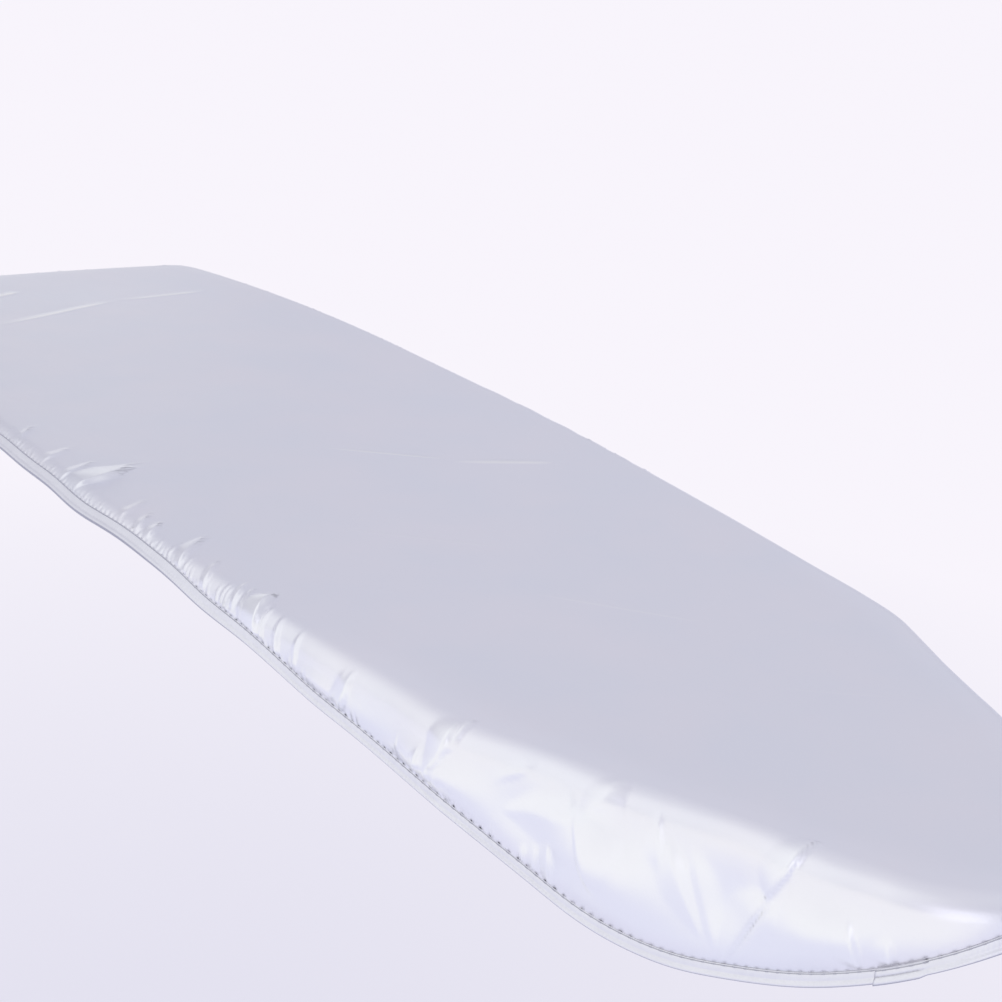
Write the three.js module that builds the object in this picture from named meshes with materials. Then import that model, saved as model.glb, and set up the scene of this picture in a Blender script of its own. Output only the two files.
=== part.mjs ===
import * as THREE from 'three';

// Silver-coated ironing board cover as it sits on a board: face cloth, felt pad, hem binding and
// the elastic cord in the binding. Millimetres, +Z up, X from the tail to the nose. The origin is
// on the pad's underside, where the board's top lies, in the middle of the board.

// Plan of the board top that the cover is cut for
const boardLength = 1178;
const boardWidth = 381;
const rimRadius = 7;
const tailBow = 6;
const tailEndWidth = 260;
const tailCornerRun = 28;
const tailShoulderWidth = 311;
const tailWideningRun = 308;
const fullWidthRun = 150;
const noseRun = 244;
const noseShoulderWidth = 311;
const noseShoulderEase = 14;
const noseTipRadius = 75;
const wideningLeadShare = 0.42;
const taperLeadShare = 0.37;

// Layers from the board upwards
const padThickness = 3;
const clothThickness = 0.6;
const layerGap = 0.3;

// Cloth from the edge of the flat top to the lower edge of the hem where it hangs longest, how much
// of it hangs free where a fold has its whole height, and how far in from the tail the hem aims
const overhang = 96;
const foldRun = 30;
const tailAimRun = 200;

// Hem binding, with the cord's channel in its fold and one end lapped over the other near the nose
const tapeThickness = 0.5;
const tapeLeg = 5.4;
const tapeLap = 25;
const tapeStartShare = 0.938;
const cordDiameter = 2;
const cordEndGap = 3;
const channelTurn = THREE.MathUtils.degToRad(150);
const gatherDepth = 0.8;

// Stations round the outline, and sides of small sections
const stationCount = 78;
const outlineSamples = 1200;
const cordSides = 6;
const channelSteps = 4;

// How closely the stations stand on bends, along the nose and along the near side
const bendCloseness = 70;
const noseClosenessShare = 1.1;
const noseClosenessStartShare = 0.5;
const noseClosenessFullShare = 0.7;
const nearClosenessShare = 0.7;

// How the skirt hangs, by share of the way from the tail's middle to the nose's tip: the degrees
// that the cloth turns round the rim, and its share of the overhang
const skirtShares = [
  { share: 0, wrap: 66, clothShare: 0.235 },
  { share: 0.15, wrap: 50, clothShare: 0.2 },
  { share: 0.56, wrap: 50, clothShare: 0.2 },
  { share: 0.6, wrap: 64, clothShare: 0.235 },
  { share: 0.64, wrap: 80, clothShare: 0.29 },
  { share: 0.68, wrap: 90, clothShare: 0.375 },
  { share: 0.72, wrap: 95, clothShare: 0.48 },
  { share: 0.78, wrap: 96, clothShare: 0.615 },
  { share: 0.8, wrap: 96, clothShare: 0.74 },
  { share: 0.827, wrap: 96, clothShare: 0.92 },
  { share: 0.853, wrap: 96, clothShare: 1 },
  { share: 0.873, wrap: 96, clothShare: 1 },
  { share: 0.893, wrap: 96, clothShare: 0.93 },
  { share: 0.933, wrap: 96, clothShare: 0.675 },
  { share: 0.96, wrap: 92, clothShare: 0.42 },
  { share: 0.975, wrap: 75, clothShare: 0.255 },
  { share: 1, wrap: 68, clothShare: 0.245 },
];

// Main folds of the skirt: share of the way along their side, half width and height. The near side
// is the one at negative Y.
const mainFolds = [
  { near: true, share: 0.64, reach: 22, height: 4 },
  { near: true, share: 0.7, reach: 24, height: 5 },
  { near: true, share: 0.765, reach: 26, height: 6 },
  { near: true, share: 0.81, reach: 20, height: -4 },
  { near: true, share: 0.84, reach: 22, height: 6 },
  { near: true, share: 0.885, reach: 22, height: -6 },
  { near: true, share: 0.915, reach: 20, height: 5 },
  { near: false, share: 0.66, reach: 24, height: 4 },
  { near: false, share: 0.75, reach: 28, height: 6 },
  { near: false, share: 0.825, reach: 26, height: -5 },
  { near: false, share: 0.87, reach: 24, height: 6 },
  { near: false, share: 0.92, reach: 22, height: -4 },
];

// Share of a fold's height at the end of the rim, in the middle of the skirt and at the hem
const foldShares = { rim: 0.3, middle: 1, hem: 0.2 };

const padRadius = rimRadius + padThickness;
const clothInnerRadius = padRadius + layerGap;
const clothRadius = clothInnerRadius + clothThickness / 2;

// The pad's rounding ends level with its underside, and the cloth has rows at the same angles
const padEdgeAngle = Math.acos(rimRadius / padRadius);
const padAngles = [0, padEdgeAngle / 2, padEdgeAngle];
const cordRadius = cordDiameter / 2;
const channelWidening = 1 / Math.cos(channelTurn / channelSteps);
const channelRadius = (cordRadius + layerGap) * channelWidening;
const channelCentre = tapeLeg + cordRadius + layerGap;
const bindingWidth = channelCentre + channelRadius + tapeThickness * channelWidening;
const clothInBinding = tapeLeg - layerGap;

// Half of the board's outline on the +Y side, from the tail's middle to the tip of the nose
function halfOutline() {
  const side = boardWidth / 2;
  const tail = -boardLength / 2;
  const cornerStart = new THREE.Vector2(tail + tailBow, tailEndWidth / 2);
  const cornerEnd = new THREE.Vector2(cornerStart.x + tailCornerRun, tailShoulderWidth / 2);
  const fullStart = cornerEnd.x + tailWideningRun;
  const fullEnd = fullStart + fullWidthRun;
  const shoulder = new THREE.Vector2(boardLength / 2 - noseRun, noseShoulderWidth / 2);
  const tipCentre = new THREE.Vector2(boardLength / 2 - noseTipRadius, 0);

  // The corner of the tail meets the end's bow and the widening side in their own directions
  const endControl = new THREE.Vector2(tail, cornerStart.y / 2);
  const sideControl = new THREE.Vector2(cornerEnd.x + tailWideningRun * wideningLeadShare, side);
  const endSlope = (cornerStart.x - endControl.x) / (cornerStart.y - endControl.y);
  const sideSlope = (sideControl.y - cornerEnd.y) / (sideControl.x - cornerEnd.x);
  const cornerRise = cornerEnd.y - cornerStart.y - sideSlope * tailCornerRun;
  const lead = cornerRise / (1 - sideSlope * endSlope);
  const cornerControl = new THREE.Vector2(cornerStart.x + endSlope * lead, cornerStart.y + lead);

  // The straight side of the nose touches the arc of its tip
  const toTip = tipCentre.clone().sub(shoulder);
  const noseAngle = toTip.angle() + Math.asin(noseTipRadius / toTip.length()) + Math.PI / 2;
  const touch = new THREE.Vector2(Math.cos(noseAngle), Math.sin(noseAngle))
    .multiplyScalar(noseTipRadius)
    .add(tipCentre);
  const taperControl = new THREE.Vector2(
    THREE.MathUtils.lerp(fullEnd, shoulder.x, taperLeadShare),
    side,
  );
  const alongTaper = shoulder.clone().sub(taperControl).normalize();
  const alongNose = touch.clone().sub(shoulder).normalize();
  const easeStart = shoulder.clone().addScaledVector(alongTaper, -noseShoulderEase);
  const easeEnd = shoulder.clone().addScaledVector(alongNose, noseShoulderEase);

  const path = new THREE.Path();
  path.moveTo(tail, 0);
  path.quadraticCurveTo(endControl.x, endControl.y, cornerStart.x, cornerStart.y);
  path.quadraticCurveTo(cornerControl.x, cornerControl.y, cornerEnd.x, cornerEnd.y);
  path.quadraticCurveTo(sideControl.x, sideControl.y, fullStart, side);
  path.lineTo(fullEnd, side);
  path.quadraticCurveTo(taperControl.x, taperControl.y, easeStart.x, easeStart.y);
  path.quadraticCurveTo(shoulder.x, shoulder.y, easeEnd.x, easeEnd.y);
  path.lineTo(touch.x, touch.y);
  path.absarc(tipCentre.x, tipCentre.y, noseTipRadius, noseAngle, 0, true);
  return { points: path.getSpacedPoints(outlineSamples), length: path.getLength() };
}

// The closed outline, from the tail's middle along the near side to the nose and back along the
// far side, with the outward direction and the bend at each point
function closedOutline(half) {
  const count = half.points.length - 1;
  const near = half.points.map((p, i) => ({ x: p.x, y: -p.y, share: i / count, near: true }));
  const far = half.points.map((p, i) => ({ x: p.x, y: p.y, share: i / count, near: false }));
  const loop = [...near.slice(0, count), ...far.slice(1).reverse()];
  const at = (i) => loop[(i + loop.length) % loop.length];
  loop.forEach((point, i) => {
    const tangent = new THREE.Vector2(at(i + 1).x - at(i - 1).x, at(i + 1).y - at(i - 1).y);
    point.step = tangent.length() / 2;
    tangent.normalize();
    point.out = new THREE.Vector2(tangent.y, -tangent.x);
  });
  loop.forEach((point, i) => {
    const turn = Math.acos(Math.min(1, at(i - 1).out.dot(at(i + 1).out)));
    point.bend = turn / (2 * point.step);
  });
  return loop;
}

// Stations stand closer on bends, along the nose and along the near side
function placeStations(loop) {
  const closeness = loop.map((p) => {
    const noseShare = THREE.MathUtils.smoothstep(
      p.share,
      noseClosenessStartShare,
      noseClosenessFullShare,
    );
    const sideShare = p.near ? nearClosenessShare : 0;
    return p.step * (1 + bendCloseness * p.bend + noseClosenessShare * noseShare + sideShare);
  });
  const total = closeness.reduce((sum, c) => sum + c, 0);
  const chosen = [];
  let passed = 0;
  loop.forEach((point, i) => {
    if (passed >= (chosen.length * total) / stationCount) chosen.push(point);
    passed += closeness[i];
  });
  return chosen;
}

function skirtAt(share) {
  const next = Math.max(1, skirtShares.findIndex((s) => s.share >= share));
  const [a, b] = [skirtShares[next - 1], skirtShares[next]];
  const t = (share - a.share) / (b.share - a.share);
  return {
    wrap: THREE.MathUtils.degToRad(THREE.MathUtils.lerp(a.wrap, b.wrap, t)),
    cloth: THREE.MathUtils.lerp(a.clothShare, b.clothShare, t) * overhang,
  };
}

function foldHeight(station, sideLength) {
  return mainFolds
    .filter((fold) => fold.near === station.near)
    .map((fold) => {
      const away = ((station.share - fold.share) * sideLength) / fold.reach;
      return fold.height * Math.exp(-away * away);
    })
    .reduce((sum, height) => sum + height, 0);
}

// Each station holds the frame that every layer is drawn in: the outward direction at the rim, the
// direction that the tucked skirt aims along, and how the cloth hangs there
function describeStations(chosen, sideLength) {
  const aimLow = -boardLength / 2 + tailAimRun;
  const aimHigh = boardLength / 2 - noseTipRadius;
  return chosen.map((point, i) => {
    const crossing = point.out.y === 0 ? point.x : point.x - (point.y * point.out.x) / point.out.y;
    const aim = new THREE.Vector2(
      point.x - THREE.MathUtils.clamp(crossing, aimLow, aimHigh),
      point.y,
    );
    const { wrap, cloth } = skirtAt(point.share);
    const straight = cloth - wrap * clothRadius;
    const freeShare = Math.min(1, (straight - bindingWidth) / foldRun);
    return {
      ...point,
      hang: aim.normalize(),
      wrap,
      straight,
      fold: foldHeight(point, sideLength) * freeShare,
      gather: i % 2 === 0 ? gatherDepth : -gatherDepth,
    };
  });
}

// A point on the rim's rounding, at a radius and an angle from straight up
function rimPoint(station, radius, angle) {
  const out = radius * Math.sin(angle) - rimRadius;
  return new THREE.Vector3(
    station.x + station.out.x * out,
    station.y + station.out.y * out,
    radius * Math.cos(angle) - rimRadius,
  );
}

// A point on the hanging skirt: how far down from the rim, how far off the cloth's middle surface,
// and how much of the fold and the gather there is
function skirtPoint(station, down, off, foldShare, gatherShare) {
  const rise = off + station.fold * foldShare + station.gather * gatherShare;
  const across = down * Math.cos(station.wrap) + rise * Math.sin(station.wrap);
  const along = rise * Math.cos(station.wrap) - down * Math.sin(station.wrap);
  const start = rimPoint(station, clothRadius, station.wrap);
  return new THREE.Vector3(
    start.x + station.hang.x * across,
    start.y + station.hang.y * across,
    start.z + along,
  );
}

// A point on the hem, measured down from the upper edge of the binding
function hemPoint(station, down, off) {
  const start = station.straight - bindingWidth;
  return skirtPoint(station, start + down, off, foldShares.hem, 1);
}

// Skins the sections of one piece. A section is a list of points, and rising tells for each of its
// strips whether it runs upwards, so that layers that lie together are split the same way.
function skin(sections, { closedSection, closedLoop, rising }) {
  const size = sections[0].length;
  const positions = sections.flat().flatMap((p) => [p.x, p.y, p.z]);
  const faces = [];
  const strips = closedSection ? size : size - 1;
  const steps = closedLoop ? sections.length : sections.length - 1;
  for (let i = 0; i < steps; i += 1) {
    for (let j = 0; j < strips; j += 1) {
      const a = i * size + j;
      const b = ((i + 1) % sections.length) * size + j;
      const c = ((i + 1) % sections.length) * size + ((j + 1) % size);
      const d = i * size + ((j + 1) % size);
      if (rising(j)) faces.push([a, d, b], [d, c, b]);
      else faces.push([a, d, c], [a, c, b]);
    }
  }
  return { positions, faces, size };
}

// Closes the flat ring of one row of points round a middle point
function closeFlat(body, row, facesUp) {
  const count = Math.floor(body.positions.length / 3 / body.size);
  const middle = body.positions.length / 3;
  body.positions.push(0, 0, body.positions[row * 3 + 2]);
  for (let i = 0; i < count; i += 1) {
    const from = i * body.size + row;
    const to = ((i + 1) % count) * body.size + row;
    body.faces.push(facesUp ? [from, to, middle] : [to, from, middle]);
  }
}

// Closes the two ends of a strip with the outline of its section
function closeEnds(body, section) {
  const outline = section.map(({ down, off }) => new THREE.Vector2(off, down));
  const last = body.positions.length / 3 - body.size;
  const turn = THREE.ShapeUtils.area(outline);
  THREE.ShapeUtils.triangulateShape(outline, []).forEach(([a, b, c]) => {
    const sameTurn = THREE.ShapeUtils.area([outline[a], outline[b], outline[c]]) * turn > 0;
    const [first, second, third] = sameTurn ? [a, b, c] : [a, c, b];
    body.faces.push([first, third, second]);
    body.faces.push([last + first, last + second, last + third]);
  });
}

function toMesh(name, body, material) {
  const geometry = new THREE.BufferGeometry();
  geometry.setAttribute('position', new THREE.Float32BufferAttribute(body.positions, 3));
  geometry.setIndex(body.faces.flat());
  geometry.computeVertexNormals();
  const mesh = new THREE.Mesh(geometry, material);
  mesh.name = name;
  return mesh;
}

// Felt slab cut to the board, its upper edge rounded off round the rim
function feltPad(stations, material) {
  const sections = stations.map((station) =>
    padAngles.map((angle) => rimPoint(station, padRadius, angle)),
  );
  const body = skin(sections, { closedSection: false, closedLoop: true, rising: () => false });
  closeFlat(body, 0, true);
  closeFlat(body, padAngles.length - 1, false);
  return toMesh('felt_pad', body, material);
}

// One cut of cloth: the flat top, the turn round the rim and the hanging skirt
function faceCloth(stations, material) {
  const layer = (station, side) => {
    const off = (side * clothThickness) / 2;
    const rim = [...padAngles, (padEdgeAngle + station.wrap) / 2].map((angle) =>
      rimPoint(station, clothRadius + off, angle),
    );
    const bindingTop = station.straight - bindingWidth;
    return [
      ...rim,
      skirtPoint(station, 0, off, foldShares.rim, 0),
      skirtPoint(station, bindingTop / 2, off, foldShares.middle, foldShares.middle),
      hemPoint(station, 0, off),
      hemPoint(station, clothInBinding, off),
    ];
  };
  const sections = stations.map((station) => [
    ...layer(station, 1),
    ...layer(station, -1).reverse(),
  ]);
  const size = sections[0].length;
  const body = skin(sections, {
    closedSection: false,
    closedLoop: true,
    rising: (j) => j >= size / 2,
  });
  closeFlat(body, 0, true);
  closeFlat(body, size - 1, false);
  return toMesh('face_cloth', body, material);
}

// Section of the folded tape: the outer face down one leg, round the channel and up the other,
// then the inner face back. Grown by a layer, it laps over the tape's own start.
function tapeSection(grown) {
  const contour = (off) => {
    const leg = clothThickness / 2 + layerGap + off;
    const radius = channelRadius + off * channelWidening;
    const turn = Array.from({ length: channelSteps + 1 }, (_, k) => {
      const angle = channelTurn * (1 - (2 * k) / channelSteps);
      return { down: channelCentre + radius * Math.cos(angle), off: radius * Math.sin(angle) };
    });
    return [{ down: 0, off: leg }, ...turn, { down: 0, off: -leg }];
  };
  return [...contour(grown + tapeThickness), ...contour(grown).reverse()];
}

// Draws a section at a place between two stations, where 2.5 is halfway from station 2 to 3
function drawSection(stations, place, section) {
  const index = Math.floor(place);
  const from = stations[index % stations.length];
  const to = stations[(index + 1) % stations.length];
  return section.map(({ down, off }) =>
    hemPoint(from, down, off).lerp(hemPoint(to, down, off), place - index),
  );
}

// Length of the hem between a station and the next
function hemStep(stations, index) {
  const from = hemPoint(stations[index % stations.length], channelCentre, 0);
  const to = hemPoint(stations[(index + 1) % stations.length], channelCentre, 0);
  return from.distanceTo(to);
}

// The place that lies a length along the hem from a station
function placeAlong(stations, start, length) {
  let index = start;
  let left = length;
  while (left > hemStep(stations, index)) {
    left -= hemStep(stations, index);
    index += 1;
  }
  return index + left / hemStep(stations, index);
}

// The places to draw from one to another, with every station between them
function placesBetween(from, to) {
  const inner = Array.from({ length: Math.ceil(to) - Math.floor(from) - 1 }, (_, i) => i + 1);
  return [from, ...inner.map((i) => Math.floor(from) + i), to];
}

// Tape folded over the cut edge. It starts on top of its own end, which runs on below it.
function hemBinding(stations, material) {
  const start = stations.findIndex((s) => s.near && s.share >= tapeStartShare);
  const lapEnd = placeAlong(stations, start, tapeLap);
  const plain = tapeSection(0);
  const lapped = tapeSection(tapeThickness + layerGap);
  const sections = [
    ...placesBetween(start, lapEnd).map((place) => drawSection(stations, place, lapped)),
    ...placesBetween(lapEnd, lapEnd + stations.length)
      .slice(1)
      .map((place) => drawSection(stations, place, plain)),
  ];
  const body = skin(sections, {
    closedSection: true,
    closedLoop: false,
    rising: (j) => (j > plain.length / 4 && j < plain.length / 2) || j > (plain.length * 3) / 4,
  });
  closeEnds(body, plain);
  return toMesh('hem_binding', body, material);
}

// Elastic cord along the whole channel, its two ends meeting under the lap
function hemElastic(stations, material) {
  const start = stations.findIndex((s) => s.near && s.share >= tapeStartShare);
  const round = Array.from({ length: cordSides }, (_, k) => {
    const angle = (2 * Math.PI * k) / cordSides;
    return {
      down: channelCentre + cordRadius * Math.sin(angle),
      off: cordRadius * Math.cos(angle),
    };
  });
  const last = start + stations.length - 1;
  const end = last + 1 - cordEndGap / hemStep(stations, last);
  const sections = placesBetween(start, end).map((place) => drawSection(stations, place, round));
  const body = skin(sections, { closedSection: true, closedLoop: false, rising: () => false });
  closeEnds(body, round);
  return toMesh('hem_elastic', body, material);
}

const half = halfOutline();
const stations = describeStations(placeStations(closedOutline(half)), half.length);

const silverCloth = new THREE.MeshStandardMaterial({
  color: '#c6c5d6',
  roughness: 0.42,
  metalness: 0.35,
});
const felt = new THREE.MeshStandardMaterial({ color: '#dcd9d2', roughness: 0.95, metalness: 0 });
const tape = new THREE.MeshStandardMaterial({ color: '#d3d3dd', roughness: 0.6, metalness: 0.15 });
const elastic = new THREE.MeshStandardMaterial({ color: '#ededee', roughness: 0.8, metalness: 0 });

const group = new THREE.Group();
group.add(faceCloth(stations, silverCloth));
group.add(feltPad(stations, felt));
group.add(hemBinding(stations, tape));
group.add(hemElastic(stations, elastic));

export default group;
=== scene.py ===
import math

import bmesh
import bpy
import numpy as np
from mathutils import Matrix, Vector


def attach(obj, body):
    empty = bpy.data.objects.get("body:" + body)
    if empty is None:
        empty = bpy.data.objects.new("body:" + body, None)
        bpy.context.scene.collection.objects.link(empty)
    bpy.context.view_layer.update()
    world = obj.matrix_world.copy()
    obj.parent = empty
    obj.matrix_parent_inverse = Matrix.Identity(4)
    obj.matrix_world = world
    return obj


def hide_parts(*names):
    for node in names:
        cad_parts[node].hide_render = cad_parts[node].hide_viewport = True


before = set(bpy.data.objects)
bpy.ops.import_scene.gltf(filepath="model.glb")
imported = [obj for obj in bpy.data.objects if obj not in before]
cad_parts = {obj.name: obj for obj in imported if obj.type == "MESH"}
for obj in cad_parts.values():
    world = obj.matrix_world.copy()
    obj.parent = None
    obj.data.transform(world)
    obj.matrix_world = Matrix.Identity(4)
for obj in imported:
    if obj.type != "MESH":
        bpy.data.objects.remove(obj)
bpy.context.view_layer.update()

# Silver-coated ironing board cover: face cloth with its gathered skirt, felt underlay, hem binding
# with the elastic in it, and the sewing threads. The cover's lengths are in millimetres until a
# mesh is made. Those of the floor, the room, the lamp and the camera are in metres.
MM = 0.001

# Plan that the cover is cut for, from the tail at -X to the nose at +X
BOARD_LENGTH = 1178
BOARD_WIDTH = 381
RIM_RADIUS = 7
TAIL_BOW = 6
TAIL_END_WIDTH = 260
TAIL_CORNER_RUN = 28
TAIL_SHOULDER_WIDTH = 311
TAIL_WIDENING_RUN = 308
FULL_WIDTH_RUN = 150
NOSE_RUN = 244
NOSE_SHOULDER_WIDTH = 311
NOSE_SHOULDER_EASE = 14
NOSE_TIP_RADIUS = 75
WIDENING_LEAD_SHARE = 0.42
TAPER_LEAD_SHARE = 0.37

# Layers from the flat top upwards
PAD_THICKNESS = 3
CLOTH_THICKNESS = 0.6
LAYER_GAP = 0.3
PAD_RADIUS = RIM_RADIUS + PAD_THICKNESS
CLOTH_RADIUS = PAD_RADIUS + LAYER_GAP + CLOTH_THICKNESS / 2

# The cloth's longest overhang, the length of free skirt at which its folds are full, and how far
# from the tail's end the hem and the rows of the flat top start to run straight across
OVERHANG = 96
FOLD_RUN = 30
TAIL_AIM_RUN = 200

# Hem binding: the two legs of the folded tape hold the cloth, the fold is a channel for the cord,
# and one end of the tape laps over the other at a share of the way from the tail to the nose. The
# binding's width is measured from the tape's upper edge to the lower end of the overhang
TAPE_THICKNESS = 0.5
TAPE_LEG = 5.4
TAPE_LAP = 25
LAP_SHARE = 0.938
CORD_RADIUS = 1
CORD_PLAY = 1.6 * LAYER_GAP
CORD_END_GAP = 3
CHANNEL_TURN = math.radians(150)
CHANNEL_RADIUS = CORD_RADIUS + CORD_PLAY
CHANNEL_CENTRE = TAPE_LEG + CORD_RADIUS + LAYER_GAP
BINDING_WIDTH = 8.97
CLOTH_IN_BINDING = TAPE_LEG - LAYER_GAP

# The tape's upper edge is pressed thin on the cloth, and its legs stand out a little more at these
# depths. The painted shade along the fold's underside starts at one depth and is full at the other
TAPE_EDGE_GAP = 0.05
TAPE_EDGE_SHARE = 0.7
TAPE_SWELL = ((1.6, 0), (2.4, 0.03), (4, 0.08))
PAINTED_FOLD_SHADE = (6.9, 7.4)

# Spacing of the mesh's stations round the outline, and its rows and sides
OUTLINE_STEPS = 5000
CURVE_STEPS = 240
NEAR_SPACING = 1.2
FAR_SPACING = 2.8
SPACING_EASE = 60
RIM_ROWS = 9
SKIRT_ROWS = 24
SKIRT_ROW_CROWDING = 1.25
INNER_ROW_STEP = 3
TOP_ROW_SHARES = (0.9, 0.7, 0.5, 0.36, 0.28, 0.22, 0.18, 0.15, 0.12, 0.095, 0.075, 0.055, 0.038,
                  0.022, 0.009)
HELD_ROW_SHARES = (0.2, 1)
FELT_ROW_SHARES = (0.85, 0.5, 0.2, 0.05)
FELT_EDGE_ROWS = 6
CHANNEL_POINTS = 13
CORD_SIDES = 10

# How the skirt hangs, by share of the way from the tail's middle to the nose's tip: the degrees
# that the cloth turns round the rim, and its share of the longest overhang
SKIRT = np.array([
    (0, 66, 0.235), (0.15, 50, 0.2), (0.56, 50, 0.2), (0.6, 64, 0.235), (0.64, 80, 0.29),
    (0.68, 90, 0.375), (0.72, 95, 0.48), (0.78, 96, 0.615), (0.8, 96, 0.74), (0.827, 96, 0.92),
    (0.853, 96, 1), (0.873, 96, 1), (0.893, 96, 0.93), (0.933, 96, 0.675), (0.96, 92, 0.42),
    (0.975, 75, 0.255), (1, 68, 0.245),
])
SKIRT_EASE = 14

# The hem isn't quite even: how far it wanders up and down, but not at the middles of the two ends,
# and its waves, each with its run per radian, its shift from side to side and its share
HEM_WANDER = 0.5
HEM_WANDER_EASE = 60
HEM_WAVES = ((21, 1, 1), (13, 2, 0.7), (34, 0, 1))

# Broad folds of the skirt: side (-1 is the near one), share along it, half width and height
BROAD_FOLDS = (
    (-1, 0.64, 22, 4), (-1, 0.7, 24, 5), (-1, 0.765, 26, 6), (-1, 0.81, 20, -4),
    (-1, 0.84, 22, 6), (-1, 0.885, 22, -6), (-1, 0.915, 20, 5), (1, 0.66, 24, 4),
    (1, 0.75, 28, 6), (1, 0.825, 26, -5), (1, 0.87, 24, 6), (1, 0.92, 22, -4),
)
FOLD_SHARES = {"rim": 0.3, "middle": 1, "hem": 0.2}

# How far the free skirt stands out in its middle, as a share of its length, where on the rim's
# turn that starts, and how gently
BILLOW_SHARE = 0.07
BILLOW_START = 0.55
BILLOW_EASE = 1.4

# Creases that the gathering pulls up: side, where the crest starts and ends as share along the side
# and drop from the flat edge, how far its middle bows towards the nose, how far along it stands
# highest, how wide its slopes are there towards the tail and towards the nose, its height, and how
# sharp its crest is from 0, round, to 1. The last five lie along the far edge
CREASES = (
    (-1, (0.482, -43), (0.497, 9), 9, 0.6, 24, 3, 3.4, 1),
    (-1, (0.469, -25), (0.482, 11), 5, 0.6, 7, 2, 1.1, 1),
    (-1, (0.447, -20), (0.458, 8), 4, 0.6, 8, 3, 1, 1),
    (-1, (0.408, -14), (0.424, 4), 2, 0.6, 4, 2, 1.1, 1),
    (-1, (0.527, -22), (0.541, 8), 4, 0.6, 6, 3, 1.1, 0.8),
    (-1, (0.544, -12), (0.558, 9), 3, 0.6, 5, 2, 1.3, 1),
    (-1, (0.556, -10), (0.568, 9), 3, 0.6, 6, 2, 1.6, 1),
    (-1, (0.579, -24), (0.599, 16), 3, 0.5, 8, 2, 1.6, 1),
    (-1, (0.606, -10), (0.619, 16), 4, 0.7, 5, 2, 1.3, 1),
    (-1, (0.650, -9), (0.6595, 25), 5, 0.4, 21, 2.4, 5, 1),
    (-1, (0.6565, 12), (0.6605, 25), 0, 0.6, 4, 1.8, 1.5, 1),
    (-1, (0.6395, -6), (0.6475, 20), 3, 0.7, 4, 2, 1.6, 1),
    (-1, (0.633, -8), (0.641, 19), 3, 0.5, 4, 2, 1.1, 1),
    (-1, (0.669, 2), (0.674, 28), 2, 0.7, 6, 2.2, 1.9, 1),
    (-1, (0.684, 4), (0.6865, 29), 1, 0.5, 4, 2, 1.2, 1),
    (-1, (0.721, 9), (0.7135, 38), 2, 0.45, 10, 2.2, 3, 1),
    (-1, (0.717, 9), (0.708, 36), 2, 0.4, 4, 2, 1.3, 1),
    (-1, (0.777, 2), (0.7695, 35), 3.5, 0.45, 13, 2.2, 3.6, 1),
    (-1, (0.7715, 28), (0.768, 52), 0, 0.3, 5, 2, 1.7, 1),
    (-1, (0.7805, -2), (0.777, 21), 1.5, 0.35, 6, 2, 2.3, 1),
    (-1, (0.774, 33), (0.7715, 50), 0, 0.4, 4, 2, 1, 1),
    (-1, (0.7645, 23), (0.7635, 41), 0, 0.5, 5, 2, 1.7, 1),
    (-1, (0.795, 27), (0.8115, 10), 0, 0.7, 6, 2.5, 1.2, 1),
    (-1, (0.799, 41), (0.8315, 27), 0, 0.9, 14, 28, 3.6, 1),
    (-1, (0.8305, 30), (0.845, 1), 0, 0.5, 9, 12, 2.8, 1),
    (-1, (0.829, 22), (0.839, 66), 0, 0.12, 6, 26, 4.2, 1),
    (-1, (0.809, 56), (0.808, 72), 0, 0.5, 4, 2.4, 1.4, 1),
    (-1, (0.8135, 52), (0.813, 75), 0, 0.6, 4, 2.4, 1.5, 1),
    (-1, (0.8195, 44), (0.820, 79), 0, 0.5, 8, 2.6, 2.6, 1),
    (-1, (0.859, 12), (0.8625, 42), 0, 0.5, 10, 4, 1.8, 0.8),
    (-1, (0.863, 22), (0.8785, 72), 0, 0.35, 12, 7, 2.4, 0.8),
    (-1, (0.872, 22), (0.884, 78), 0, 0.4, 8, 9, 1.8, 0.7),
    (-1, (0.912, -3), (0.899, 36), 0, 0.55, 13, 2.4, 3.8, 1),
    (-1, (0.9, 32), (0.885, 84), 0, 0.3, 14, 2.4, 3, 1),
    (-1, (0.9035, 33), (0.8885, 80), 0, 0.3, 3, 8, 1.8, 1),
    (-1, (0.9275, 28), (0.933, 56), 0, 0.6, 12, 2.6, 2.2, 1),
    (-1, (0.940, 30), (0.942, 49), 0, 0.6, 8, 2.6, 1.7, 1),
    (1, (0.655, 12), (0.662, 28), 0, 0.4, 14, 4, 2, 1),
    (1, (0.735, 14), (0.729, 40), 0, 0.4, 11, 4, 2.8, 1),
    (1, (0.793, 14), (0.788, 44), 0, 0.4, 12, 5, 3, 1),
    (1, (0.835, 16), (0.842, 62), 0, 0.5, 14, 9, 2.8, 0.8),
    (1, (0.883, 14), (0.874, 60), 0, 0.4, 11, 6, 3, 1),
    (1, (0.926, 14), (0.931, 52), 0, 0.5, 9, 7, 2.4, 0.8),
    (1, (0.433, 5.2), (0.466, 4.6), 0, 0.5, 2.4, 2.2, 0.4, 1),
    (1, (0.469, 4.4), (0.497, 5), 0, 0.4, 2.2, 2.2, 0.45, 1),
    (1, (0.502, 4.8), (0.528, 4.2), 0, 0.6, 2.4, 2.2, 0.45, 1),
    (1, (0.531, 4.4), (0.556, 5), 0, 0.5, 2.2, 2.2, 0.4, 1),
    (1, (0.562, 5), (0.578, 4.2), 0, 0.5, 2.2, 2.2, 0.35, 1),
)

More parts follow.
